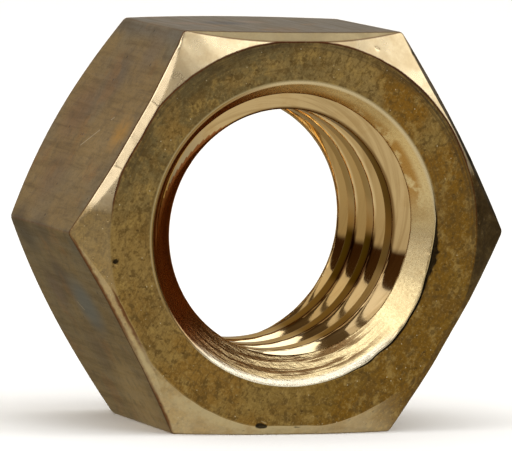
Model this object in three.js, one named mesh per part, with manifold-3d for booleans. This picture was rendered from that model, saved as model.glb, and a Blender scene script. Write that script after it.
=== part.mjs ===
// Hex nut with a right-hand internal thread, machined from one piece of hexagonal brass bar.
//
// Millimetres, +Z up. The nut stands on one of its six flats, with the thread's axis along Y. The origin is on
// that axis, halfway through the thickness. The front bearing face looks along -Y and the back one along +Y.

import * as THREE from 'three';
import { mergeVertices } from 'three/addons/utils/BufferGeometryUtils.js';
import Module from 'manifold-3d';

const INCH = 25.4;

// Hexagonal blank
const ACROSS_FLATS = (7 / 16) * INCH;
const THICKNESS = INCH / 4;

// Chamfers that turn off the six corners and leave a round bearing face at each end, shallower in front
const FRONT_FACE_DIAMETER = 0.974 * ACROSS_FLATS;
const FRONT_CHAMFER_ANGLE = 30;
const BACK_FACE_DIAMETER = 0.985 * ACROSS_FLATS;
const BACK_CHAMFER_ANGLE = 45;

// Thread 5/16-18 UNC, class 2B, with flanks at 30 degrees to the radius
const MAJOR_DIAMETER = (5 / 16) * INCH;
const MINOR_DIAMETER = 0.265 * INCH;
const PITCH = INCH / 18;
const FLANK_ANGLE = 30;
const ROOT_FLAT = PITCH / 8;
// Depth behind the front face at which the middle of the first whole crest passes the top of the bore
const CREST_DEPTH_AT_TOP = 1.21;

// Countersink at each end of the thread, 90 degrees included
const COUNTERSINK_DIAMETER = 1.05 * MAJOR_DIAMETER;
const COUNTERSINK_ANGLE = 45;

// Mesh fineness, and how far the cutting tools run past what they cut
const SEGMENTS = 72;
const OVERRUN = 0.6;
const TOOL_REACH = 0.15;

const wasm = await Module();
wasm.setup();

const tan = (degrees) => Math.tan(THREE.MathUtils.degToRad(degrees));

// Every solid below has the nut's axis along Z, its front face looking along -Z and its top along -Y

function solidOf(geometry) {
  const bare = geometry.index ? geometry.toNonIndexed() : geometry.clone();
  bare.deleteAttribute('normal');
  bare.deleteAttribute('uv');
  const merged = mergeVertices(bare, 1e-6);
  return new wasm.Manifold(new wasm.Mesh({
    numProp: 3,
    vertProperties: new Float32Array(merged.attributes.position.array),
    triVerts: new Uint32Array(wholeTriangles(merged.index.array)),
  }));
}

// A lathe leaves triangles of no area where its section meets the axis
function wholeTriangles(index) {
  const kept = [];
  for (let i = 0; i < index.length; i += 3) {
    const [a, b, c] = index.slice(i, i + 3);
    if (a !== b && b !== c && c !== a) kept.push(a, b, c);
  }
  return kept;
}

function geometryOf(solid) {
  const mesh = solid.getMesh();
  const geometry = new THREE.BufferGeometry();
  geometry.setAttribute('position', new THREE.BufferAttribute(new Float32Array(mesh.vertProperties), 3));
  geometry.setIndex(new THREE.BufferAttribute(new Uint32Array(mesh.triVerts), 1));
  geometry.computeVertexNormals();
  return geometry;
}

// A body of revolution round Z, from a half-section given as [radius, height] points from the lowest up
function turned(section, segments) {
  const points = section.map(([radius, height]) => new THREE.Vector2(radius, height));
  const geometry = new THREE.LatheGeometry(points, segments);
  geometry.rotateX(Math.PI / 2);
  return solidOf(geometry);
}

// The bar stock: a hexagonal prism that stands on a flat once the axis is laid along Y
function hexBlank() {
  const cornerRadius = ACROSS_FLATS / Math.sqrt(3);
  const hexagon = new THREE.Shape();
  for (let corner = 0; corner < 6; corner += 1) {
    const angle = (corner * Math.PI) / 3;
    const point = [cornerRadius * Math.cos(angle), cornerRadius * Math.sin(angle)];
    if (corner === 0) hexagon.moveTo(...point);
    else hexagon.lineTo(...point);
  }
  hexagon.closePath();
  const prism = new THREE.ExtrudeGeometry(hexagon, { depth: THICKNESS, bevelEnabled: false });
  prism.translate(0, 0, -THICKNESS / 2);
  return solidOf(prism);
}

// The double cone that the blank is turned down to
function chamferEnvelope() {
  const half = THICKNESS / 2;
  const frontRadius = FRONT_FACE_DIAMETER / 2;
  const backRadius = BACK_FACE_DIAMETER / 2;
  const waistRadius = 0.7 * ACROSS_FLATS;
  const frontWaist = half - (waistRadius - frontRadius) * tan(FRONT_CHAMFER_ANGLE);
  const backWaist = half - (waistRadius - backRadius) * tan(BACK_CHAMFER_ANGLE);
  return turned([
    [0, -half],
    [frontRadius, -half],
    [waistRadius, -frontWaist],
    [waistRadius, backWaist],
    [backRadius, half],
    [0, half],
  ], 2 * SEGMENTS);
}

// The drilled hole with its two countersinks
function boreTool() {
  const half = THICKNESS / 2;
  const boreRadius = MINOR_DIAMETER / 2;
  const mouthRadius = COUNTERSINK_DIAMETER / 2;
  const depth = (mouthRadius - boreRadius) / tan(COUNTERSINK_ANGLE);
  const farRadius = mouthRadius + OVERRUN * tan(COUNTERSINK_ANGLE);
  const far = half + OVERRUN;
  return turned([
    [0, -far],
    [farRadius, -far],
    [boreRadius, depth - half],
    [boreRadius, half - depth],
    [farRadius, far],
    [0, far],
  ], SEGMENTS);
}

// The screw-shaped tap cut: a trapezium of 60 degrees, swept round the helix of a right-hand thread
function threadTool() {
  const inner = MINOR_DIAMETER / 2 - TOOL_REACH;
  const outer = MAJOR_DIAMETER / 2;
  const rootHalf = ROOT_FLAT / 2;
  const mouthHalf = rootHalf + (outer - inner) * tan(FLANK_ANGLE);
  const profile = new THREE.Shape();
  profile.moveTo(inner, -mouthHalf);
  profile.lineTo(outer, -rootHalf);
  profile.lineTo(outer, rootHalf);
  profile.lineTo(inner, mouthHalf);
  profile.closePath();

  // A groove runs half a pitch from each crest, and starts and ends clear of the two faces
  const half = THICKNESS / 2;
  const groove = CREST_DEPTH_AT_TOP - half + PITCH / 2;
  const start = groove - Math.ceil((groove + half + OVERRUN) / PITCH) * PITCH;
  const turns = Math.ceil((half + OVERRUN - start) / PITCH);
  const steps = turns * SEGMENTS;
  const sweep = new THREE.ExtrudeGeometry(profile, { depth: turns, steps, bevelEnabled: false });

  // X of the sweep becomes the radius, and Z the number of turns, counted from the top of the bore
  const position = sweep.attributes.position;
  for (let i = 0; i < position.count; i += 1) {
    const radius = position.getX(i);
    const turn = position.getZ(i);
    const angle = 2 * Math.PI * turn - Math.PI / 2;
    const height = start + turn * PITCH - position.getY(i);
    position.setXYZ(i, radius * Math.cos(angle), radius * Math.sin(angle), height);
  }
  return solidOf(sweep);
}

function nutBody() {
  return hexBlank().intersect(chamferEnvelope()).subtract(boreTool()).subtract(threadTool());
}

function brass() {
  return new THREE.MeshStandardMaterial({ color: 0x8a7346, metalness: 1.0, roughness: 0.38 });
}

const nut = new THREE.Mesh(geometryOf(nutBody()), brass());
nut.name = 'nut_body';
// Lays the axis along Y, with the front face to -Y
nut.rotation.x = -Math.PI / 2;

const hexNut = new THREE.Group();
hexNut.add(nut);

export default hexNut;
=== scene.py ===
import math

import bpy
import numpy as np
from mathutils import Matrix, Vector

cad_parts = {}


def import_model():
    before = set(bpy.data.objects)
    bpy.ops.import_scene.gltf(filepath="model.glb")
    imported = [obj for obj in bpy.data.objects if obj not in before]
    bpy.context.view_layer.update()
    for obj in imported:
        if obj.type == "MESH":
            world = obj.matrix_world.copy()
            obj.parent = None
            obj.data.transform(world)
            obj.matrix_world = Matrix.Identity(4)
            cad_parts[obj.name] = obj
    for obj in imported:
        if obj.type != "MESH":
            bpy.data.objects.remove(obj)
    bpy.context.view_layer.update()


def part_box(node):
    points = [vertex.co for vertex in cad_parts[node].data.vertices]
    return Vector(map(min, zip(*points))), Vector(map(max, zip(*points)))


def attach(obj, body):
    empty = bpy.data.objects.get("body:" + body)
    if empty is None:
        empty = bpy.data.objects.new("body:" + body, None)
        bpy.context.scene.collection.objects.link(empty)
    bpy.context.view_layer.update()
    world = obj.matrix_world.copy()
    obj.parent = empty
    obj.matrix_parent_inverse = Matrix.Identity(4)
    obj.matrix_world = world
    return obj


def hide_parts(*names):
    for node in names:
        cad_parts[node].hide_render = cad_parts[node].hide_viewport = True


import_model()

# A machined brass hex nut, standing on one of its flats on a pale floor under soft studio light.
#
# Metres, +Z up, in the row frame: the thread's axis is Y, the front bearing face looks along -Y, and the
# origin is on the axis, halfway through the thickness. Angles round the axis are counted as seen from
# the front: 0 is at three o'clock (+X) and 90 at twelve o'clock (+Z). Below they are clock angles.

MM = 0.001
INCH = 25.4 * MM

# --------------------------------------------------------------------------------------------------
# Driving dimensions

node_low, node_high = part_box("nut_body")
HALF_THICKNESS = (node_high[1] - node_low[1]) / 2
ACROSS_FLATS = node_high[2] - node_low[2]
APOTHEM = ACROSS_FLATS / 2
FRONT_FACE_RADIUS = 0.974 * APOTHEM
BACK_FACE_RADIUS = 0.985 * APOTHEM
FRONT_CHAMFER = math.tan(math.radians(30))
BACK_CHAMFER = math.tan(math.radians(45))
MAJOR_RADIUS = 5 / 32 * INCH
MINOR_RADIUS = 0.1325 * INCH
PITCH = INCH / 18
COUNTERSINK_RADIUS = 1.05 * MAJOR_RADIUS
FLANK_SLOPE = 1 / math.tan(math.radians(30))
CREST_DEPTH_AT_TOP = 1.21 * MM

# Radius of the hexagon's six corners
CORNER_ROUNDING = 0.16 * MM

# Turned edges: how far back from each edge its bend starts
FACE_EDGE_BEND = 0.035 * MM
FLAT_EDGE_BEND = 0.045 * MM
RIM_BEND = 0.05 * MM
WORN_RIM_BEND = 0.17 * MM

# Widths over which the surfaces of the bore blend
CREST_ROUNDING = 0.05 * MM
ROOT_ROUNDING = 0.06 * MM
CONE_ROUNDING = 0.06 * MM

# How far the bore's rows stay from each face, as a share of the rim's bend, so that they clear it
BACK_RIM_SHARE = 0.71
FRONT_RIM_SHARE = 0.8

# Unevenness of the turned edges
RIM_RAGGEDNESS = 0.0015 * MM
EDGE_RAGGEDNESS = 0.004 * MM
WAVE_COUNT = 18

# The front rim of the countersink. Each pair, here and below, is the clock angle in degrees where
# something is strongest, and its spread in degrees.
RIM_WEAR = (-88, 46)
RIM_TIGHT = (-13, 17)
RIM_TIGHTER_BY = 0.105 * MM
BURR = (-30, 36)
BURR_HEIGHT = 0.010 * MM
BURR_GAP = 0.060 * MM
BURR_OPENING = (-8, 8)

# The burr and the gap outside it, in millimetres outwards from the rim
BURR_WANDER = 0.008
BURR_MIDDLE = 0.01
BURR_WIDTH = 0.025
GAP_START = 0.035
GAP_WIDTH = 0.024
GAP_WIDER_BY = 0.07

# The straight bevel worn along the front edge of each flat, narrower on the upper right one
BEVEL_WIDTH = 0.25 * MM
NARROW_BEVEL = (30, 24)
NARROWER_BY = 0.55
BEVEL_SLOPE = math.tan(math.radians(38))
BEVEL_BLEND = 0.03 * MM

# The front face isn't quite round: it falls short towards the top
FACE_SHORT = (92, 40)
FACE_SHORT_BY = 0.065 * MM

# Knocks: clock angle in degrees, then radius, y, width and depth in millimetres. A knock with a negative
# depth stands out.
KNOCKS = [
    (-171.9, 5.27, -3.175, 0.075, 0.045),
    (-170.6, 5.30, -3.175, 0.060, -0.018),
    (-99.3, 5.37, -3.170, 0.075, 0.060),
    (-98.2, 5.35, -3.175, 0.065, 0.055),
    (-97.4, 5.38, -3.170, 0.050, 0.040),
    (-99.2, 5.25, -3.175, 0.035, -0.030),
    (-98.4, 5.22, -3.175, 0.030, -0.026),
    (-97.8, 5.26, -3.175, 0.030, -0.020),
    (-87.4, 5.37, -3.170, 0.050, 0.035),
    (-86.8, 5.39, -3.170, 0.035, 0.030),
    (104.1, 4.81, -3.175, 0.040, 0.020),
    (121.3, 6.34, -2.760, 0.075, 0.060),
    (123.3, 6.24, -2.660, 0.060, 0.040),
    (127.5, 6.08, -2.780, 0.060, -0.020),
    (66.0, 5.62, -3.060, 0.045, 0.022),
    (55.0, 6.05, -2.800, 0.035, 0.018),
    (-35.0, 5.10, -3.175, 0.045, 0.018),
    (18.0, 4.90, -3.175, 0.040, 0.016),
    (-128.0, 4.75, -3.175, 0.045, 0.018),
    (149.0, 5.56, -1.750, 0.060, 0.020),
    (-150.0, 5.60, -1.200, 0.055, 0.020),
]

# Mesh fineness
CORNER_STEPS = 5
FLAT_STEPS = 25
CORNER_SPAN = math.radians(2.5)
BEND_ROWS = [8, 4, 4, 3, 3, 3]
LINE_ROWS = [20, 14, 13, 7, 8]
BORE_ROWS = 190

# For the wear along the edges: the share of the hexagon's radius from which a point counts as on a flat,
# and what is added to its distance from a corner
ON_FLAT = 0.995
CORNER_SETBACK = 0.05 * MM


# --------------------------------------------------------------------------------------------------
# Shape

def step_angles():
    """Angles round the axis, closer together at the six corners."""
    near = np.linspace(0, CORNER_SPAN, CORNER_STEPS, endpoint=False)
    far = np.linspace(CORNER_SPAN, math.pi / 6, FLAT_STEPS, endpoint=False)
    rising = np.concatenate([near, far])
    falling = math.pi / 3 - np.concatenate([[math.pi / 6], rising[:0:-1]])
    sector = np.concatenate([rising, falling])
    return np.concatenate([sector + k * math.pi / 3 for k in range(6)])


def smooth_max(a, b, width):
    """The larger of two, rounded where they cross."""
    return 0.5 * (a + b + np.sqrt((a - b) ** 2 + width ** 2))


def smooth_min(a, b, width):
    """The smaller of two, rounded where they cross."""
    return 0.5 * (a + b - np.sqrt((a - b) ** 2 + width ** 2))


def hexagon_radius(angle):
    """Distance from the axis to the hexagon with rounded corners. A corner is at angle 0."""
    from_corner = (angle + math.pi / 6) % (math.pi / 3) - math.pi / 6
    from_flat = math.pi / 6 - np.abs(from_corner)
    flat = APOTHEM / np.cos(from_flat)
    centre = (APOTHEM - CORNER_ROUNDING) * 2 / math.sqrt(3)
    inside = np.maximum(CORNER_ROUNDING ** 2 - (centre * np.sin(from_corner)) ** 2, 0)
    arc = centre * np.cos(from_corner) + np.sqrt(inside)
    on_flat = np.tan(from_flat) * APOTHEM <= (APOTHEM - CORNER_ROUNDING) / math.sqrt(3)
    return np.where(on_flat, flat, arc)


def from_crest(y, angle):
    """Distance along the axis from the middle of the nearest crest, negative towards the front."""
    crest = CREST_DEPTH_AT_TOP - HALF_THICKNESS - PITCH * (angle - math.pi / 2) / (2 * math.pi)
    turns = (y - crest) / PITCH
    return (turns - np.round(turns)) * PITCH


def cones(y, angle):
    """Radius of the countersinks."""
    front = front_cone_radius(angle) - HALF_THICKNESS - y
    back = COUNTERSINK_RADIUS - HALF_THICKNESS + y
    return np.maximum(front, back)


def bore_radius(y, angle):
    """Wall of the hole: the thread's groove, cut back by a cone at each end."""
    from_root = PITCH / 2 - np.abs(from_crest(y, angle))
    groove = MAJOR_RADIUS - (from_root - PITCH / 16) * FLANK_SLOPE
    groove = smooth_min(groove, MAJOR_RADIUS, ROOT_ROUNDING)
    wall = smooth_max(groove, MINOR_RADIUS, CREST_ROUNDING)
    return smooth_max(wall, cones(y, angle), CONE_ROUNDING)


def unit(v):
    return v / np.linalg.norm(v, axis=-1, keepdims=True)


class Section:
    """Rows of points (radius, y), one for each angle, with the way that the section runs at each."""

    def __init__(self):
        self.points = []
        self.directions = []
        self.zones = []
        self.corners = []

    def line(self, start, end, fractions, zone):
        for f in fractions:
            self.points.append(start + (end - start) * f)
            self.directions.append(unit(end - start))
            self.zones.append(zone)

    def curve(self, point_at, fractions, zone):
        for f in fractions:
            self.points.append(point_at(f))
            self.directions.append(unit(point_at(f + 0.01) - point_at(f - 0.01)))
            self.zones.append(zone)

    def bend(self, start, corner, end, count, zone_before, zone_after):
        for k in range(count):
            t = k / count
            self.points.append((1 - t) ** 2 * start + 2 * t * (1 - t) * corner + t ** 2 * end)
            self.directions.append(unit((1 - t) * (corner - start) + t * (end - corner)))
            self.zones.append(zone_before if 2 * k < count else zone_after)


def spread(count):
    """Fractions from 0 to just under 1, closer together at both ends."""
    t = np.arange(count) / count
    return 0.5 - 0.5 * np.cos(math.pi * t)


def ragged(angle, lowest, highest, seed):
    """An irregular wave round the axis, mostly within 1 of zero, with that many bumps to the turn."""
    random = np.random.default_rng(seed)
    waves = random.integers(lowest, highest, WAVE_COUNT)
    phases = random.uniform(0, 2 * math.pi, WAVE_COUNT)
    total = sum(np.sin(wave * angle + phase) for wave, phase in zip(waves, phases))
    return total / math.sqrt(WAVE_COUNT / 2)


def hump(value, middle, width):
    """1 at the middle, fading to 0 over the width on both sides."""
    return np.exp(-((value - middle) / width) ** 2)


def around(angle, place):
    """1 at the clock angle of that place, fading to 0 over its spread."""
    centre, width = place
    gap = (angle - math.radians(centre) + math.pi) % (2 * math.pi) - math.pi
    return hump(gap, 0.0, math.radians(width))


def front_cone_radius(angle):
    """Radius of the front countersink at the face, which isn't quite round."""
    return COUNTERSINK_RADIUS - RIM_TIGHTER_BY * around(angle, RIM_TIGHT)


def front_face_radius(angle):
    return FRONT_FACE_RADIUS - FACE_SHORT_BY * around(angle, FACE_SHORT)


def bevel_radius(angle):
    """Radius at which the bevel along a flat's front edge starts. It tapers off towards the corners."""
    from_middle = (angle % (math.pi / 3)) / (math.pi / 6) - 1
    tapered = BEVEL_WIDTH * (1 - np.abs(from_middle) ** 3)
    width = tapered * (1 - NARROWER_BY * around(angle, NARROW_BEVEL))
    return hexagon_radius(angle) * (1 - width / APOTHEM)


def front_chamfer_depth(radius, angle):
    """Depth of the front chamfer behind the face: a cone of 30 degrees, then the bevel."""
    bevel = bevel_radius(angle)
    on_cone = np.maximum(smooth_min(radius, bevel, BEVEL_BLEND) - front_face_radius(angle), 0)
    on_bevel = smooth_max(radius - bevel, 0, BEVEL_BLEND)
    return on_cone * FRONT_CHAMFER + on_bevel * BEVEL_SLOPE


def rim_radius(angle):
    raggedness = RIM_RAGGEDNESS * (0.3 + around(angle, BURR))
    return front_cone_radius(angle) + raggedness * ragged(angle, 20, 60, 1)


def section_rows(angle):
    """The closed section: front face, front chamfer, flat, back chamfer, back face, then the bore."""
    flat = hexagon_radius(angle)
    rim = rim_radius(angle)
    face_edge = smooth_min(front_face_radius(angle), bevel_radius(angle), BEVEL_BLEND)
    face_edge = face_edge + EDGE_RAGGEDNESS * ragged(angle, 4, 60, 2)
    wander = EDGE_RAGGEDNESS * ragged(angle, 6, 70, 3)
    front, back = -HALF_THICKNESS, HALF_THICKNESS
    face_edge_depth = front_chamfer_depth(face_edge, angle)

    def at(radius, y):
        return np.stack(np.broadcast_arrays(radius, y, angle)[:2], axis=-1)

    corners = [
        at(rim, front),
        at(face_edge, front),
        at(flat, front + wander + front_chamfer_depth(flat, angle) - face_edge_depth),
        at(flat, back - (flat - BACK_FACE_RADIUS) * BACK_CHAMFER),
        at(BACK_FACE_RADIUS, back),
        at(COUNTERSINK_RADIUS, back),
    ]
    worn_rim = RIM_BEND + (WORN_RIM_BEND - RIM_BEND) * around(angle, RIM_WEAR)[:, None]
    bends = [RIM_BEND, FACE_EDGE_BEND, FLAT_EDGE_BEND, FLAT_EDGE_BEND, FACE_EDGE_BEND, RIM_BEND]
    zones = ["face", "chamfer", "flat", "chamfer", "face"]
    rim_inward = np.array([-1.0, 1.0]) / math.sqrt(2)
    rim_back_inward = np.array([-1.0, -1.0]) / math.sqrt(2)

    # Where the bend at each corner starts and ends
    before, after = [], []
    for k in range(6):
        towards_last = unit(corners[k - 1] - corners[k]) if k > 0 else rim_inward
        towards_next = unit(corners[k + 1] - corners[k]) if k < 5 else rim_back_inward
        before.append(corners[k] + towards_last * (bends[k] if k > 0 else worn_rim))
        after.append(corners[k] + towards_next * bends[k])

    def front_chamfer_point(fraction):
        radius = after[1][..., 0] + (before[2][..., 0] - after[1][..., 0]) * fraction
        y = front + wander * fraction + front_chamfer_depth(radius, angle) - face_edge_depth
        return at(radius, y)

    after[1] = front_chamfer_point(0.0)
    before[2] = front_chamfer_point(1.0)

    rows = Section()
    rows.corners = corners
    rows.bend(before[0], corners[0], after[0], BEND_ROWS[0], "countersink", "countersink")
    for k in range(5):
        if k == 1:
            rows.curve(front_chamfer_point, np.arange(LINE_ROWS[k]) / LINE_ROWS[k], zones[k])
        else:
            rows.line(after[k], before[k + 1], spread(LINE_ROWS[k]), zones[k])
        zone_before, zone_after = (zones[k], zones[k + 1]) if k < 4 else ("countersink", "countersink")
        rows.bend(before[k + 1], corners[k + 1], after[k + 1], BEND_ROWS[k + 1], zone_before, zone_after)

    first = back - BACK_RIM_SHARE * RIM_BEND
    last = front + FRONT_RIM_SHARE * WORN_RIM_BEND
    nudge = 1e-4 * MM
    for y in np.linspace(first, last, BORE_ROWS):
        radius = bore_radius(y, angle)
        slope = (bore_radius(y + nudge, angle) - bore_radius(y - nudge, angle)) / (2 * nudge)
        rows.points.append(at(radius, y))
        rows.directions.append(unit(-at(slope, 1.0)))
        rows.zones.append(np.where(radius - cones(y, angle) < CONE_ROUNDING, "countersink", "bore"))
    return rows


def round_the_axis(angle, radius, y):
    return np.stack([radius * np.cos(angle), y, radius * np.sin(angle)], axis=-1)


def damage(points):
    """How far each point stands out: knocks, and a ragged burr with a gap outside it."""
    stand_out = np.zeros(points.shape[:-1])
    for clock, radius, y, width, depth in KNOCKS:
        turn = math.radians(clock)
        centre = np.array([radius * math.cos(turn), y, radius * math.sin(turn)]) * MM
        distance = np.linalg.norm(points - centre, axis=-1)
        stand_out -= depth * MM * hump(distance, 0.0, width * MM)

    radius = np.hypot(points[..., 0], points[..., 2])
    angle = np.arctan2(points[..., 2], points[..., 0])
    strength = around(angle, BURR)
    opened = around(angle, BURR_OPENING) * (0.8 + 0.12 * ragged(angle, 60, 140, 6))
    beyond_rim = (radius - rim_radius(angle)) / MM - BURR_WANDER * ragged(angle, 8, 40, 5)
    burr_height = BURR_HEIGHT * (0.7 + 0.3 * ragged(angle, 10, 60, 4))
    burr = burr_height * hump(beyond_rim, BURR_MIDDLE, BURR_WIDTH)
    gap_width = GAP_WIDTH + GAP_WIDER_BY * opened
    gap = BURR_GAP * (1 + 0.5 * opened) * hump(beyond_rim - GAP_START, gap_width, gap_width)
    in_front = points[..., 1] < -0.9 * HALF_THICKNESS
    return stand_out + in_front * strength * (burr - gap)


def damage_slope(points):
    step = 0.001 * MM
    slopes = []
    for shift in np.eye(3) * step:
        slopes.append((damage(points + shift) - damage(points - shift)) / (2 * step))
    return np.stack(slopes, axis=-1)


def surface(angle):
    """Points, normals, zones and distances to an edge, for each row of the undamaged section."""
    nudge = 1e-5
    rows = section_rows(angle)
    rows_on, rows_back = section_rows(angle + nudge), section_rows(angle - nudge)

    def place(section, at_angle):
        p = np.array(section.points)
        return round_the_axis(at_angle, p[..., 0], p[..., 1])

    points = place(rows, angle)
    along = place(rows_on, angle + nudge) - place(rows_back, angle - nudge)
    d = np.array(rows.directions)
    across = round_the_axis(angle, d[..., 0], d[..., 1])
    return points, unit(np.cross(across, along)), rows.zones, edge_distance(rows, angle)


def edge_distance(rows, angle):
    """Distance from each point to the nearest turned edge, or to the nearest corner of the hexagon."""
    p = np.array(rows.points)
    nearest = np.min([np.linalg.norm(p - corner, axis=-1) for corner in rows.corners], axis=0)
    from_corner = np.abs((angle + math.pi / 6) % (math.pi / 3) - math.pi / 6)
    outside = p[..., 0] > ON_FLAT * hexagon_radius(angle)
    return np.where(outside, np.minimum(nearest, APOTHEM * from_corner + CORNER_SETBACK), nearest)


ZONES = ["face", "chamfer", "flat", "countersink", "bore"]


def nut_mesh():
    angle = step_angles()
    points, normals, zones, edges = surface(angle)
    row_count, step_count = points.shape[:2]
    past_bevel = np.hypot(points[..., 0], points[..., 2]) - bevel_radius(angle)
    stand_out = damage(points)
    lengths = {"edge_mm": edges, "past_bevel_mm": past_bevel, "hollow_mm": -stand_out}
    slope = damage_slope(points)
    slope -= normals * np.sum(slope * normals, axis=-1, keepdims=True)
    points = points + normals * stand_out[..., None]
    normals = unit(normals - slope)

    index = np.arange(row_count * step_count).reshape(row_count, step_count)
    above = np.roll(index, -1, axis=0)
    beside = np.roll(index, -1, axis=1)
    corner = np.roll(above, -1, axis=1)
    quads = np.stack([index, above, corner, beside], axis=-1).reshape(-1, 4)

    mesh = bpy.data.meshes.new("nut")
    mesh.from_pydata(points.reshape(-1, 3).tolist(), [], quads.tolist())
    mesh.polygons.foreach_set("use_smooth", [True] * len(mesh.polygons))
    names = np.array([np.broadcast_to(zone, step_count) for zone in zones])
    slots = sum(k * (names == zone) for k, zone in enumerate(ZONES))
    mesh.polygons.foreach_set("material_index", slots.reshape(-1))
    for name, values in lengths.items():
        mesh.attributes.new(name, "FLOAT", "POINT").data.foreach_set("value", (values / MM).reshape(-1))
    mesh.normals_split_custom_set_from_vertices(normals.reshape(-1, 3).tolist())
    mesh.update()
    return mesh


# --------------------------------------------------------------------------------------------------
# Materials

class NodeGraph:
    """Short ways to add nodes to a material or a world."""

    def __init__(self, tree):
        self.nodes = tree.nodes
        self.links = tree.links

    def put(self, value, socket):
        if isinstance(value, bpy.types.NodeSocket):
            self.links.new(value, socket)
        elif isinstance(value, tuple) and len(value) == 3 and socket.type == "RGBA":
            socket.default_value = (*value, 1)
        else:
            socket.default_value = value

    def math(self, operation, a, b=0.0):
        node = self.nodes.new("ShaderNodeMath")
        node.operation = operation
        self.put(a, node.inputs[0])
        self.put(b, node.inputs[1])
        return node.outputs[0]

    def vector(self, operation, a, b=(0, 0, 0), scale=1.0):
        node = self.nodes.new("ShaderNodeVectorMath")
        node.operation = operation
        self.put(a, node.inputs[0])
        if operation == "SCALE":
            self.put(scale, node.inputs["Scale"])
        elif operation != "LENGTH":
            self.put(b, node.inputs[1])
        return node.outputs["Value" if operation in ("LENGTH", "DOT_PRODUCT") else "Vector"]

    def split(self, vector):
        node = self.nodes.new("ShaderNodeSeparateXYZ")
        self.links.new(vector, node.inputs[0])
        return node.outputs

    def combine(self, x, y, z):
        node = self.nodes.new("ShaderNodeCombineXYZ")
        for value, socket in zip((x, y, z), node.inputs):
            self.put(value, socket)
        return node.outputs[0]

    def add(self, *terms):
        total = terms[0]
        for term in terms[1:]:
            total = self.math("ADD", total, term)
        return total

    def times(self, *factors):
        product = factors[0]
        for factor in factors[1:]:
            product = self.math("MULTIPLY", product, factor)
        return product

    def most(self, a, b):
        return self.math("MAXIMUM", a, b)

    def rest(self, share):
        """What a share leaves of 1."""
        return self.math("SUBTRACT", 1.0, share)

    def ramp(self, value, low, high, to_low=0.0, to_high=1.0):
        """Goes smoothly from to_low to to_high as the value goes from low to high."""
        node = self.nodes.new("ShaderNodeMapRange")
        node.interpolation_type = "SMOOTHSTEP"
        limits = {"From Min": low, "From Max": high, "To Min": to_low, "To Max": to_high}
        for name, number in limits.items():
            node.inputs[name].default_value = number
        self.put(value, node.inputs["Value"])
        return node.outputs["Result"]

    def noise(self, vector, scale=1.0, detail=2.0, roughness=0.5, shift=0.0):
        node = self.nodes.new("ShaderNodeTexNoise")
        if shift:
            vector = self.vector("ADD", vector, (shift, shift, shift))
        self.links.new(vector, node.inputs["Vector"])
        node.inputs["Scale"].default_value = scale
        node.inputs["Detail"].default_value = detail
        node.inputs["Roughness"].default_value = roughness
        return node.outputs["Fac"]

    def specks(self, vector, scale, size, rarity=0.0, shift=0.0):
        """1 on scattered specks of that size, in cells, and 0 elsewhere."""
        node = self.nodes.new("ShaderNodeTexVoronoi")
        if shift:
            vector = self.vector("ADD", vector, (shift, shift, shift))
        self.links.new(vector, node.inputs["Vector"])
        node.inputs["Scale"].default_value = scale
        spot = self.ramp(node.outputs["Distance"], size, size * 0.4)
        split = self.nodes.new("ShaderNodeSeparateColor")
        self.links.new(node.outputs["Color"], split.inputs[0])
        chosen = self.math("GREATER_THAN", split.outputs[0], rarity)
        return self.times(spot, chosen)

    def mix(self, factor, a, b):
        node = self.nodes.new("ShaderNodeMix")
        node.data_type = "RGBA"
        self.put(factor, node.inputs["Factor"])
        self.put(a, node.inputs["A"])
        self.put(b, node.inputs["B"])
        return node.outputs["Result"]


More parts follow.
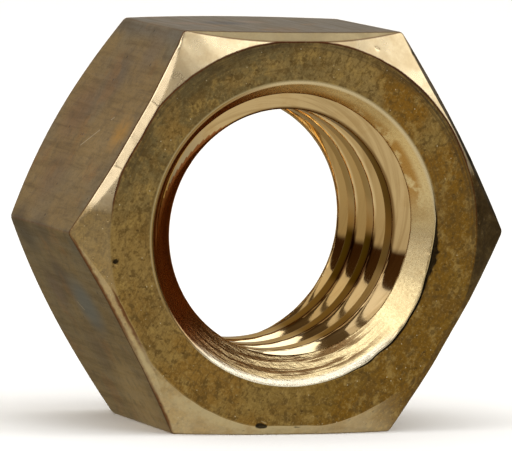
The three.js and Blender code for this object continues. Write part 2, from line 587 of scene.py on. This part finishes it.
class Brass(NodeGraph):
    """A brass material as it is built. Its nodes work in millimetres, in the nut's own coordinates."""

    def __init__(self, name, edge_tint=(1, 1, 1, 1)):
        self.material = bpy.data.materials.new(name)
        self.material.use_nodes = True
        super().__init__(self.material.node_tree)
        self.shader = self.nodes["Principled BSDF"]
        self.shader.inputs["Metallic"].default_value = 1
        self.shader.inputs["Specular Tint"].default_value = edge_tint
        place = self.nodes.new("ShaderNodeTexCoord").outputs["Object"]
        self.place = self.vector("SCALE", place, scale=1 / MM)
        self.x, self.y, self.z = self.split(self.place)
        squares = self.math("ADD", self.math("POWER", self.x, 2), self.math("POWER", self.z, 2))
        self.radius = self.math("SQRT", squares)
        self.edge = self.attribute("edge_mm")
        self.hollow = self.attribute("hollow_mm")
        self.past_bevel = self.attribute("past_bevel_mm")

    def attribute(self, name):
        node = self.nodes.new("ShaderNodeAttribute")
        node.attribute_name = name
        return node.outputs["Fac"]

    def marks(self, places, densities):
        """Coordinates for marks, from three distances and the marks to a millimetre along each."""
        return self.combine(*[self.times(place, density) for place, density in zip(places, densities)])

    def stretched(self, across, along):
        """Coordinates for marks that run along the axis."""
        return self.marks((self.x, self.y, self.z), (across, along, across))

    def slanted(self, degrees, across, along):
        """Coordinates for marks on the front that run at that clock angle."""
        turn = math.radians(degrees)
        lengthways = self.vector("DOT_PRODUCT", self.place, (math.cos(turn), 0, math.sin(turn)))
        sideways = self.vector("DOT_PRODUCT", self.place, (-math.sin(turn), 0, math.cos(turn)))
        return self.marks((sideways, lengthways, self.y), (across, along, across))

    def round_axis(self, around, radial, axial):
        """Coordinates for marks that run round the axis, as turning leaves."""
        cosine = self.math("DIVIDE", self.x, self.radius)
        sine = self.math("DIVIDE", self.z, self.radius)
        height = self.add(self.times(self.radius, radial), self.times(self.y, axial))
        return self.combine(self.times(cosine, around), self.times(sine, around), height)

    def towards(self, degrees, inner, outer):
        """1 within inner degrees of that clock angle, fading to 0 at outer degrees."""
        turn = math.radians(degrees)
        reach = self.vector("DOT_PRODUCT", self.place, (math.cos(turn), 0, math.sin(turn)))
        cosine = self.math("DIVIDE", reach, self.radius)
        return self.ramp(cosine, math.cos(math.radians(outer)), math.cos(math.radians(inner)))

    def near_edge(self, width, raggedness=0.35):
        """1 along the turned edges, fading out unevenly at about that width in millimetres."""
        wander = self.noise(self.place, 6.0, 3.0)
        distance = self.add(self.edge, self.times(self.add(wander, -0.5), -2 * raggedness * width))
        return self.ramp(distance, width, width * 0.3)

    def near_point(self, point, inner, outer):
        """1 within inner millimetres of a point, fading to 0 at outer."""
        distance = self.vector("LENGTH", self.vector("SUBTRACT", self.place, point))
        return self.ramp(distance, outer, inner)

    def scratch(self, start, end, width):
        """1 along a straight scratch between two points."""
        start, end = Vector(start), Vector(end)
        run = end - start
        offset = self.vector("SUBTRACT", self.place, tuple(start))
        share = self.times(self.vector("DOT_PRODUCT", offset, tuple(run)), 1 / run.length_squared)
        share = self.math("MINIMUM", self.math("MAXIMUM", share, 0.0), 1.0)
        nearest = self.vector("SCALE", tuple(run), scale=share)
        gap = self.vector("LENGTH", self.vector("SUBTRACT", offset, nearest))
        return self.ramp(gap, width, width * 0.3)

    def finish(self, colour, roughness, height):
        """Height is in millimetres."""
        self.put(colour, self.shader.inputs["Base Color"])
        self.put(roughness, self.shader.inputs["Roughness"])
        bump = self.nodes.new("ShaderNodeBump")
        bump.inputs["Strength"].default_value = 1.0
        bump.inputs["Distance"].default_value = MM
        self.links.new(height, bump.inputs["Height"])
        self.links.new(bump.outputs["Normal"], self.shader.inputs["Normal"])
        return self.material


def tarnish(m):
    """The olive and brown film on the faces and chamfers, with its grain, pits and bright specks."""
    blotches = m.noise(m.place, 0.55, 3.0, 0.55)
    clouds = m.noise(m.place, 1.1, 3.0, 0.6, shift=21.0)
    mottle = m.noise(m.place, 2.4, 4.0, 0.65, shift=7.0)
    patches = m.noise(m.place, 5.0, 3.0, 0.6, shift=31.0)
    grain = m.noise(m.place, 12.0, 3.0, 0.75, shift=3.0)
    hatch = m.noise(m.slanted(58, 20.0, 5.0), 1.0, 2.0, 0.6, shift=1.0)
    rings = m.noise(m.round_axis(1.6, 14.0, 0.0), 1.0, 3.0, 0.6)
    pits = m.specks(m.place, 4.2, 0.20, 0.5)
    bright = m.specks(m.place, 7.0, 0.16, 0.78, shift=11.0)

    lower = m.most(m.towards(-30, 30, 90), m.times(m.towards(-112, 12, 35), 0.7))
    brownness = m.add(blotches, m.times(m.add(lower, -0.5), 0.16))
    olive = m.mix(lower, (0.400, 0.275, 0.100), (0.380, 0.250, 0.066))
    less_brown = m.rest(m.times(m.towards(145, 40, 75), 0.6))
    colour = m.mix(m.times(m.ramp(brownness, 0.42, 0.60), less_brown), olive, (0.340, 0.172, 0.026))
    colour = m.mix(m.times(m.towards(-35, 30, 70), 0.65), colour, (0.270, 0.150, 0.022))
    colour = m.mix(m.times(m.towards(-150, 30, 60), 0.45), colour, (0.460, 0.290, 0.085))
    green = m.times(m.towards(128, 20, 60), m.ramp(clouds, 0.38, 0.55))
    colour = m.mix(m.times(green, 0.8), colour, (0.22, 0.175, 0.080))
    colour = m.mix(m.ramp(clouds, 0.50, 0.66, 0.0, 0.6), colour, (0.225, 0.125, 0.030))
    colour = m.mix(m.ramp(mottle, 0.50, 0.66, 0.0, 0.8), colour, (0.52, 0.350, 0.110))
    colour = m.mix(m.ramp(patches, 0.50, 0.64, 0.0, 0.65), colour, (0.150, 0.090, 0.028))
    colour = m.mix(m.ramp(rings, 0.52, 0.70, 0.0, 0.35), colour, (0.20, 0.13, 0.05))
    colour = m.mix(m.ramp(hatch, 0.50, 0.66, 0.0, 0.45), colour, (0.16, 0.095, 0.030))
    colour = m.mix(m.ramp(grain, 0.50, 0.66, 0.0, 0.34), colour, (0.14, 0.085, 0.028))
    colour = m.mix(m.ramp(grain, 0.46, 0.34, 0.0, 0.38), colour, (0.60, 0.42, 0.16))
    colour = m.mix(m.times(pits, 0.45), colour, (0.08, 0.045, 0.018))
    colour = m.mix(m.times(bright, 0.85), colour, (0.85, 0.74, 0.48))

    height = m.add(
        m.times(grain, 0.006),
        m.times(hatch, 0.005),
        m.times(rings, 0.004),
        m.times(patches, 0.010),
        m.times(mottle, 0.016),
        m.times(pits, -0.010),
        m.times(bright, 0.004),
    )
    return colour, mottle, height


def hollow_shade_and_bare_bumps(m, colour):
    """Painted shade, near black, in the knocks and in the gap beside the burr, and bare metal on what
    stands out.
    """
    # Painted shade: the hollows are coloured near black.
    colour = m.mix(m.ramp(m.hollow, 0.005, 0.022, 0.0, 0.94), colour, (0.020, 0.015, 0.009))
    return m.mix(m.ramp(m.hollow, -0.004, -0.016, 0.0, 0.85), colour, (0.88, 0.74, 0.46))


def face_brass():
    """The bearing faces: tarnished, with a burnt ring near the top edge and a painted highlight as a
    pale line at the rim.
    """
    m = Brass("brass_face")
    colour, mottle, height = tarnish(m)
    from_centre = m.radius
    inside_edge = m.ramp(from_centre, FRONT_FACE_RADIUS / MM - 0.42, FRONT_FACE_RADIUS / MM - 0.08)
    streaks = m.noise(m.round_axis(3.0, 20.0, 0.0), 1.0, 3.0, 0.65, shift=13.0)
    streaky = m.ramp(streaks, 0.42, 0.58, 0.35, 1.0)
    burnt = m.times(inside_edge, streaky, m.towards(62, 30, 75))
    colour = m.mix(m.times(burnt, 0.85), colour, (0.085, 0.062, 0.036))
    band = m.times(m.ramp(from_centre, 4.65, 5.15), m.towards(132, 22, 42))
    colour = m.mix(m.times(band, streaky, 0.6), colour, (0.11, 0.085, 0.045))
    # Painted highlight: a pale line on the face just outside the rim, on the upper and left side.
    rim_highlight_line = m.ramp(from_centre, COUNTERSINK_RADIUS / MM + 0.11, COUNTERSINK_RADIUS / MM + 0.05)
    colour = m.mix(m.times(rim_highlight_line, m.towards(110, 80, 108)), colour, (0.62, 0.50, 0.27))
    edge = m.near_edge(0.05)
    colour = m.mix(m.times(edge, m.towards(60, 45, 80), 0.9), colour, (0.09, 0.025, 0.010))
    colour = m.mix(m.times(edge, m.towards(-140, 35, 70), 0.35), colour, (0.55, 0.41, 0.19))
    colour = m.mix(m.times(edge, m.towards(148, 20, 30), 0.85), colour, (0.16, 0.045, 0.016))
    return m.finish(hollow_shade_and_bare_bumps(m, colour), m.ramp(mottle, 0.3, 0.7, 0.32, 0.48), height)


def chamfer_brass():
    """The chamfers: rubbed bare and bright towards the top, and tarnished like the faces lower down."""
    m = Brass("brass_chamfer")
    colour, mottle, height = tarnish(m)
    patches = m.noise(m.place, 2.0, 4.0, 0.65, shift=5.0)
    grain = m.noise(m.place, 13.0, 3.0, 0.7, shift=2.0)

    bare = m.mix(m.ramp(patches, 0.40, 0.66), (0.96, 0.80, 0.51), (0.85, 0.67, 0.39))
    bare = m.mix(m.ramp(grain, 0.54, 0.74, 0.0, 0.10), bare, (0.45, 0.30, 0.12))
    on_bevel = m.ramp(m.past_bevel, -0.015, 0.015)
    bevel_line = m.times(m.ramp(m.past_bevel, -0.05, -0.01), m.ramp(m.past_bevel, 0.03, -0.01))
    upper_left = m.times(on_bevel, m.towards(150, 29, 32))
    lower_left = m.times(on_bevel, m.towards(-150, 29, 32))
    top = m.times(on_bevel, m.towards(90, 29, 32))
    upper_right = m.times(on_bevel, m.towards(30, 29, 32))
    bare = m.mix(m.times(upper_left, 0.9), bare, (0.94, 0.76, 0.49))
    bottom = m.towards(-96, 26, 44)
    left_corner = m.times(m.towards(178, 16, 32), 0.22)
    covered = m.rest(m.times(top, 0.85))
    rubbed = m.times(m.towards(96, 74, 80), covered)
    below = m.most(m.times(lower_left, 0.45), m.times(bottom, 0.5))
    amount = m.most(rubbed, m.most(below, left_corner))
    colour = m.mix(amount, colour, bare)
    colour = m.mix(m.times(top, 0.8), colour, (0.36, 0.29, 0.165))
    colour = m.mix(m.times(upper_right, 0.95), colour, (0.025, 0.017, 0.010))
    dark_line = m.times(bevel_line, m.towards(88, 28, 38), 0.85)
    colour = m.mix(dark_line, colour, (0.11, 0.045, 0.016))
    edge = m.near_edge(0.03, 0.5)
    colour = m.mix(m.times(edge, rubbed, 0.9), colour, (0.14, 0.04, 0.012))
    lower_edge = m.times(m.near_edge(0.13), m.towards(-150, 26, 34), m.ramp(m.past_bevel, -0.06, 0.0))
    colour = m.mix(m.times(lower_edge, 0.9), colour, (0.17, 0.060, 0.020))
    beside_face = m.ramp(m.radius, FRONT_FACE_RADIUS / MM + 0.50, FRONT_FACE_RADIUS / MM + 0.15)
    crescent = m.times(beside_face, m.towards(-116, 22, 40), m.ramp(patches, 0.62, 0.42, 0.3, 1.0))
    colour = m.mix(m.times(crescent, 0.55), colour, (0.74, 0.62, 0.36))
    corner_film = m.towards(0, 10, 22)
    colour = m.mix(m.times(corner_film, 0.7), colour, (0.12, 0.085, 0.04))

    worn = m.math("SUBTRACT", m.ramp(patches, 0.3, 0.7, 0.26, 0.34), m.times(upper_left, 0.12))
    roughness = m.mix(amount, m.ramp(mottle, 0.3, 0.7, 0.32, 0.46), worn)
    smoother = m.rest(m.times(m.towards(96, 74, 80), 0.96))
    return m.finish(hollow_shade_and_bare_bumps(m, colour), roughness, m.times(height, smoother))


# Tints on the flats: a point in millimetres, the inner and outer reach, the colour and its strength
FLAT_TINTS = [
    ((-0.94, 0.32, 5.556), 0.3, 0.9, (0.115, 0.125, 0.160), 0.8),
    ((0.04, 0.78, 5.556), 0.1, 0.6, (0.56, 0.40, 0.31), 0.6),
    ((-2.10, 0.10, 5.556), 0.1, 0.7, (0.50, 0.33, 0.24), 0.6),
    ((-5.28, 1.30, -1.95), 0.2, 0.9, (0.30, 0.19, 0.15), 0.6),
    ((-4.55, 0.60, 3.20), 0.2, 0.9, (0.36, 0.30, 0.21), 0.6),
    ((-4.10, 0.30, 4.10), 0.2, 1.2, (0.23, 0.19, 0.16), 0.7),
    ((-3.70, -1.20, 4.90), 0.2, 1.0, (0.30, 0.24, 0.19), 0.6),
    ((-4.75, 1.60, 3.00), 0.3, 1.4, (0.36, 0.20, 0.105), 0.6),
    ((-5.60, 0.90, 1.30), 0.3, 1.3, (0.34, 0.215, 0.110), 0.6),
    ((-5.30, -1.30, 2.00), 0.3, 1.5, (0.58, 0.41, 0.180), 0.6),
    ((-6.20, 1.60, -0.30), 0.2, 1.1, (0.17, 0.125, 0.070), 0.8),
    ((-6.20, -0.20, -0.20), 0.1, 0.8, (0.22, 0.160, 0.090), 0.7),
    ((-5.55, 0.20, -1.45), 0.2, 0.9, (0.20, 0.145, 0.115), 0.7),
    ((-4.60, 0.20, -3.60), 0.2, 1.2, (0.27, 0.175, 0.095), 0.5),
]

# Scratches on the flats: the two ends and the width, in millimetres
SCRATCHES = [
    ((-5.162, 0.11, 2.171), (-4.885, -0.64, 2.652), 0.022),
    ((-5.17, -0.03, -2.158), (-5.056, -0.32, -2.355), 0.022),
    ((-4.70, -1.05, 2.97), (-4.66, -1.17, 3.05), 0.02),
]


def flat_brass():
    """The six flats: drawn bar, with lines along the axis, oxide tints, dark edges and scratches."""
    m = Brass("brass_flat")
    lines = m.noise(m.stretched(12.0, 0.8), 1.0, 3.0, 0.65)
    streaks = m.noise(m.stretched(4.5, 0.35), 1.0, 3.0, 0.6, shift=6.0)
    tint = m.noise(m.place, 0.42, 3.0, 0.5, shift=9.0)
    patches = m.noise(m.place, 0.8, 3.0, 0.5, shift=1.5)
    mottle = m.noise(m.place, 2.6, 4.0, 0.65, shift=17.0)
    grain = m.noise(m.place, 14.0, 3.0, 0.7)
    pits = m.specks(m.place, 2.4, 0.14, 0.65, shift=2.0)

    upper_left = m.near_point((-4.9, 0.0, 2.7), 2.6, 3.8)
    low = m.ramp(m.z, -0.3, -1.0)
    top = m.ramp(m.z, 5.0, 5.4)
    colour = m.mix(m.ramp(tint, 0.44, 0.60), (0.47, 0.335, 0.140), (0.34, 0.295, 0.200))
    colour = m.mix(m.times(upper_left, 0.6), colour, (0.480, 0.325, 0.135))
    colour = m.mix(m.times(low, 0.7), colour, (0.49, 0.345, 0.138))
    colour = m.mix(m.times(top, 0.8), colour, (0.28, 0.255, 0.225))
    for point, inner, outer, tint_there, share in FLAT_TINTS:
        colour = m.mix(m.times(m.near_point(point, inner, outer), share), colour, tint_there)
    colour = m.mix(m.ramp(patches, 0.55, 0.70, 0.0, 0.55), colour, (0.50, 0.27, 0.085))
    colour = m.mix(m.ramp(mottle, 0.44, 0.74, 0.0, 0.45), colour, (0.165, 0.115, 0.058))
    colour = m.mix(m.ramp(streaks, 0.48, 0.72, 0.0, 0.30), colour, (0.20, 0.14, 0.07))
    colour = m.mix(m.ramp(lines, 0.48, 0.72, 0.0, 0.36), colour, (0.18, 0.12, 0.06))
    colour = m.mix(m.ramp(grain, 0.50, 0.66, 0.0, 0.35), colour, (0.14, 0.10, 0.05))
    colour = m.mix(m.times(pits, 0.6), colour, (0.07, 0.045, 0.03))
    orange = m.near_point((-4.86, -2.20, 2.70), 0.05, 0.8)
    colour = m.mix(m.times(orange, m.ramp(mottle, 0.70, 0.40, 0.5, 1.0)), colour, (0.74, 0.43, 0.10))
    lower_left = m.near_point((-3.7, -1.2, -4.8), 0.4, 1.9)
    colour = m.mix(m.times(lower_left, m.ramp(mottle, 0.70, 0.40, 0.3, 0.8)), colour, (0.72, 0.52, 0.23))
    blue = m.near_point((-5.15, -0.8, -2.15), 0.3, 1.3)
    colour = m.mix(m.times(blue, m.ramp(tint, 0.62, 0.40, 0.5, 1.0)), colour, (0.29, 0.30, 0.295))
    colour = m.mix(m.times(m.near_edge(0.09), 0.7), colour, (0.20, 0.085, 0.032))
    scratches = 0.0
    for start, end, width in SCRATCHES:
        scratches = m.most(scratches, m.scratch(start, end, width))
    colour = m.mix(m.times(scratches, 0.9), colour, (0.95, 0.84, 0.62))

    roughness = m.ramp(streaks, 0.3, 0.7, 0.30, 0.42)
    height = m.add(
        m.times(lines, 0.005),
        m.times(streaks, 0.007),
        m.times(mottle, 0.008),
        m.times(grain, 0.003),
        m.times(pits, -0.008),
        m.times(scratches, -0.006),
    )
    return m.finish(hollow_shade_and_bare_bumps(m, colour), roughness, height)


def countersink_brass():
    """The countersinks: bright, with rough marks left by the cutter and brown stains, painted shade on
    the left side and on the rim's left, and a painted highlight on the worn rim at the bottom.
    """
    m = Brass("brass_countersink", (0.85, 0.70, 0.48, 1))
    marks = m.noise(m.round_axis(0.8, 8.0, 8.0), 1.0, 3.0, 0.65)
    mottle = m.noise(m.place, 2.0, 4.0, 0.6, shift=3.0)
    grain = m.noise(m.place, 14.0, 3.0, 0.7, shift=6.0)
    scrapes = m.noise(m.round_axis(1.6, 17.0, 5.0), 1.0, 4.0, 0.7, shift=2.0)
    chatter = m.noise(m.slanted(-42, 9.0, 2.0), 1.0, 3.0, 0.6, shift=9.0)
    stain_place = m.times(m.towards(50, 28, 48), m.ramp(m.radius, 4.04, 3.88))
    upper_stain = m.times(stain_place, m.ramp(mottle, 0.36, 0.50))
    stain = m.most(m.ramp(mottle, 0.58, 0.72, 0.0, 0.4), upper_stain)
    bottom = m.towards(-92, 30, 55)
    shaded = m.towards(172, 42, 76)

    upper = m.towards(70, 25, 60)
    fine = m.noise(m.round_axis(0.6, 22.0, 22.0), 1.0, 3.0, 0.7, shift=4.0)
    colour = m.mix(m.ramp(grain, 0.38, 0.66), (0.88, 0.71, 0.39), (0.83, 0.65, 0.34))
    colour = m.mix(m.ramp(fine, 0.47, 0.62, 0.0, 0.55), colour, (0.56, 0.42, 0.20))
    colour = m.mix(m.times(upper, 0.5), colour, (0.82, 0.56, 0.20))
    colour = m.mix(m.times(stain, 0.85), colour, (0.50, 0.25, 0.045))
    colour = m.mix(m.ramp(marks, 0.50, 0.66, 0.0, 0.55), colour, (0.46, 0.30, 0.11))
    # Painted shade: the left side is coloured dark red-brown.
    colour = m.mix(m.times(shaded, 0.85), colour, (0.42, 0.120, 0.030))
    inner = m.ramp(m.radius, 4.06, 3.92)
    scraped = m.times(m.most(inner, 0.45), m.ramp(scrapes, 0.45, 0.53, 0.0, 0.95))
    colour = m.mix(m.times(bottom, scraped), colour, (0.16, 0.08, 0.025))
    dirty = m.times(m.towards(-104, 14, 30), inner, m.ramp(chatter, 0.42, 0.56))
    colour = m.mix(m.times(dirty, 0.3), colour, (0.20, 0.085, 0.025))
    at_rim = m.ramp(m.radius, COUNTERSINK_RADIUS / MM - 0.06, COUNTERSINK_RADIUS / MM + 0.01)
    colour = m.mix(m.times(at_rim, 0.7), colour, (0.86, 0.74, 0.50))
    # Painted shade: the rim is coloured darker on its left side.
    colour = m.mix(m.times(at_rim, m.towards(175, 50, 80)), colour, (0.42, 0.27, 0.10))
    # The rim at the bottom is worn bare, and its colour is painted near white as a highlight.
    worn_rim = m.times(m.towards(-88, 30, 50), m.ramp(m.radius, 4.00, 4.08))
    colour = m.mix(worn_rim, colour, (0.98, 0.90, 0.70))

    roughness = m.add(m.ramp(grain, 0.3, 0.7, 0.22, 0.32), m.times(shaded, -0.08))
    height = m.add(
        m.times(marks, 0.005),
        m.times(fine, 0.003),
        m.times(mottle, 0.004),
        m.times(scrapes, bottom, 0.006),
        m.times(chatter, bottom, 0.012),
    )
    return m.finish(hollow_shade_and_bare_bumps(m, colour), roughness, height)


def thread_brass():
    """The thread: polished by the tap, with fine lines in the groove, browner deeper in as painted
    shade, painted shade on some crests, and painted highlights on other crests and at the bottom.
    """
    m = Brass("brass_thread", (0.86, 0.70, 0.46, 1))
    lines = m.noise(m.round_axis(1.0, 14.0, 14.0), 1.0, 3.0, 0.6)
    mottle = m.noise(m.place, 1.6, 3.0, 0.6, shift=8.0)
    depth = m.ramp(m.y, -2.2, 0.6)
    crest = m.ramp(m.radius, MINOR_RADIUS / MM + 0.12, MINOR_RADIUS / MM + 0.05)
    first_crest = m.ramp(m.y, -1.0, -1.35)
    further_crests = m.ramp(m.y, -1.35, -1.0)
    lit_window = m.towards(-32, 6, 16)

    # Painted shade: the thread's colour gets darker and browner deeper in the bore.
    colour = m.mix(depth, (0.76, 0.560, 0.290), (0.54, 0.360, 0.145))
    colour = m.mix(m.ramp(mottle, 0.5, 0.7, 0.0, 0.3), colour, (0.58, 0.36, 0.13))
    colour = m.mix(m.ramp(lines, 0.48, 0.66, 0.0, 0.40), colour, (0.40, 0.25, 0.09))
    # Painted shade: the crests are coloured dark red-brown on the right and upper side of the first
    # crest, and on the lower right further in.
    crest_shade_side = m.times(m.towards(30, 91, 101), m.rest(m.times(lit_window, 0.5)))
    deep_crest_shade = m.times(further_crests, m.towards(-50, 42, 52))
    dark = m.times(crest, m.most(m.times(first_crest, crest_shade_side), deep_crest_shade))
    colour = m.mix(m.times(dark, 0.9), colour, (0.20, 0.105, 0.030))
    # Painted highlight: the crests further in are coloured pale gold towards the upper right.
    crest_highlight = m.times(crest, further_crests, m.towards(48, 38, 48))
    colour = m.mix(m.times(crest_highlight, 0.75), colour, (0.98, 0.76, 0.43))
    in_shade = m.times(crest, further_crests, m.towards(-18, 10, 15))
    colour = m.mix(m.times(in_shade, 0.9), colour, (0.05, 0.018, 0.006))
    # Painted reflection: the bottom of the thread is coloured bright brass.
    colour = m.mix(m.times(m.towards(-86, 14, 24), 0.9), colour, (0.92, 0.75, 0.46))

    roughness = m.ramp(mottle, 0.3, 0.7, 0.04, 0.07)
    height = m.add(m.times(lines, 0.0002), m.times(mottle, 0.0007))
    return m.finish(colour, roughness, height)


# --------------------------------------------------------------------------------------------------
# Studio

LENS_MM = 562.5
SENSOR_MM = 36
FLOOR_REACH = 3.0
LIGHT_DISTANCE = 0.45


def direction(azimuth, elevation):
    """Unit vector from the nut. Azimuth 0 is in front of it, along -Y, and 90 to the right."""
    a, e = math.radians(azimuth), math.radians(elevation)
    return Vector((math.sin(a) * math.cos(e), -math.cos(a) * math.cos(e), math.sin(e)))


def softbox(name, azimuth, elevation, width, height, radiance):
    """A rectangular light that looks width by height degrees large from the nut."""
    light = bpy.data.lights.new(name, "AREA")
    light.shape = "RECTANGLE"
    light.size = 2 * LIGHT_DISTANCE * math.tan(math.radians(width / 2))
    light.size_y = 2 * LIGHT_DISTANCE * math.tan(math.radians(height / 2))
    light.energy = radiance * math.pi * light.size * light.size_y
    lamp = bpy.data.objects.new(name, light)
    bpy.context.scene.collection.objects.link(lamp)
    away = direction(azimuth, elevation)
    lamp.location = away * LIGHT_DISTANCE
    lamp.rotation_mode = "QUATERNION"
    lamp.rotation_quaternion = (-away).to_track_quat("-Z", "Z")
    lamp.visible_camera = False
    return lamp


def camera():
    """The camera looks slightly down at the nut from the front left, and is rolled a little."""
    azimuth, elevation, roll = -21.0, 5.3, 1.845
    distance = 222.74 * MM
    aim_right, aim_up = 0.0528 * MM, -0.0643 * MM
    back = direction(azimuth, elevation)
    right = Vector((0, 0, 1)).cross(back).normalized()
    up = back.cross(right)
    aim = right * aim_right + up * aim_up
    turn = math.radians(roll)
    rolled_right = right * math.cos(turn) + up * math.sin(turn)
    rolled_up = up * math.cos(turn) - right * math.sin(turn)
    data = bpy.data.cameras.new("camera")
    data.sensor_width = SENSOR_MM
    data.lens = LENS_MM
    data.clip_start = 0.01
    data.clip_end = 20
    body = bpy.data.objects.new("camera", data)
    bpy.context.scene.collection.objects.link(body)
    axes = Matrix((rolled_right, rolled_up, back)).transposed().to_4x4()
    body.matrix_world = Matrix.Translation(aim + back * distance) @ axes
    bpy.context.scene.camera = body


def floor():
    mesh = bpy.data.meshes.new("floor")
    square = [(-1, -1), (1, -1), (1, 1), (-1, 1)]
    corners = [(x * FLOOR_REACH, y * FLOOR_REACH, node_low[2]) for x, y in square]
    mesh.from_pydata(corners, [], [(0, 1, 2, 3)])
    plane = bpy.data.objects.new("floor", mesh)
    bpy.context.scene.collection.objects.link(plane)
    material = bpy.data.materials.new("floor_paper")
    material.use_nodes = True
    shader = material.node_tree.nodes["Principled BSDF"]
    shader.inputs["Base Color"].default_value = (0.85, 0.85, 0.84, 1)
    shader.inputs["Roughness"].default_value = 0.9
    shader.inputs["Specular IOR Level"].default_value = 0.1
    mesh.materials.append(material)
    plane.visible_glossy = False


def room_ramp(graph, height, stops):
    """Colour by the sine of the elevation."""
    ramp = graph.nodes.new("ShaderNodeValToRGB")
    graph.links.new(height, ramp.inputs["Fac"])
    elements = ramp.color_ramp.elements
    while len(elements) < len(stops):
        elements.new(0.5)
    for element, (sine, colour) in zip(elements, stops):
        element.position = (sine + 1) / 2
        element.color = (*colour, 1)
    return ramp.outputs["Color"]


def world():
    """The room that the nut reflects: bright table in front, dark walls at the sides, dimmer behind."""
    room = bpy.data.worlds.new("room")
    bpy.context.scene.world = room
    room.use_nodes = True
    graph = NodeGraph(room.node_tree)
    x, y, z = graph.split(graph.nodes.new("ShaderNodeTexCoord").outputs["Generated"])
    height = graph.times(graph.add(z, 1.0), 0.5)

    ahead = room_ramp(graph, height, [
        (-1.0, (0.56, 0.53, 0.46)),
        (-0.84, (0.63, 0.595, 0.51)),
        (-0.42, (0.62, 0.58, 0.49)),
        (-0.08, (0.57, 0.54, 0.47)),
        (0.10, (0.45, 0.44, 0.40)),
        (0.50, (0.24, 0.22, 0.20)),
        (0.61, (0.12, 0.08, 0.04)),
        (0.72, (0.14, 0.10, 0.06)),
        (0.82, (0.45, 0.43, 0.40)),
        (1.0, (0.50, 0.50, 0.50)),
    ])
    left = room_ramp(graph, height, [
        (-1.0, (0.56, 0.53, 0.46)),
        (-0.84, (0.63, 0.595, 0.51)),
        (-0.42, (0.62, 0.58, 0.49)),
        (-0.050, (0.54, 0.49, 0.40)),
        (-0.005, (0.050, 0.022, 0.008)),
        (0.285, (0.060, 0.030, 0.010)),
        (0.31, (0.14, 0.11, 0.07)),
        (0.75, (0.12, 0.09, 0.06)),
        (1.0, (0.30, 0.30, 0.30)),
    ])
    right = room_ramp(graph, height, [
        (-1.0, (0.42, 0.42, 0.41)),
        (-0.35, (0.42, 0.42, 0.41)),
        (-0.18, (0.020, 0.015, 0.010)),
        (0.30, (0.020, 0.015, 0.010)),
        (0.60, (0.20, 0.19, 0.18)),
        (1.0, (0.30, 0.30, 0.30)),
    ])
    behind = room_ramp(graph, height, [
        (-1.0, (0.26, 0.235, 0.19)),
        (-0.25, (0.27, 0.235, 0.165)),
        (-0.08, (0.46, 0.38, 0.29)),
        (0.06, (0.36, 0.36, 0.37)),
        (0.26, (0.44, 0.38, 0.29)),
        (0.60, (0.50, 0.43, 0.32)),
        (1.0, (0.40, 0.40, 0.40)),
    ])
    colour = graph.mix(graph.ramp(x, -0.05, -0.20), ahead, left)
    colour = graph.mix(graph.ramp(x, 0.80, 0.92), colour, right)
    colour = graph.mix(graph.ramp(y, -0.10, 0.30), colour, behind)
    graph.links.new(colour, graph.nodes["Background"].inputs["Color"])


camera()
floor()
world()
softbox("window_pane", -35, 20.8, 24, 8.4, 0.9)
softbox("window_top_pane", -35, 29.8, 26, 2.6, 0.8)
softbox("left_low", -70, 13, 22, 18, 0.6)
softbox("left_key", -70, 34, 30, 21, 1.35)
softbox("left_strip_low", -53, 15, 13, 16, 0.95)
softbox("left_strip", -51, 31, 9, 16, 0.95)
softbox("left_strip_high", -44, 47, 13, 18, 0.95)
softbox("upper_left", -64, 58, 34, 24, 0.8)
softbox("overhead", 9.5, 54, 26, 15, 1.6)
softbox("front_high", 26, 27, 28, 22, 1.1)
softbox("zenith", 0, 77, 60, 14, 1.2)
softbox("right_window", 78, 38, 42, 28, 1.4)
floor_light = softbox("floor_light", 0, 85, 120, 100, 1.1)
floor_light.visible_glossy = False

nut = bpy.data.objects.new("nut", nut_mesh())
bpy.context.scene.collection.objects.link(nut)
for material in (face_brass(), chamfer_brass(), flat_brass(), countersink_brass(), thread_brass()):
    nut.data.materials.append(material)
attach(nut, "root")
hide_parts("nut_body")

bpy.context.scene.view_settings.view_transform = "Standard"
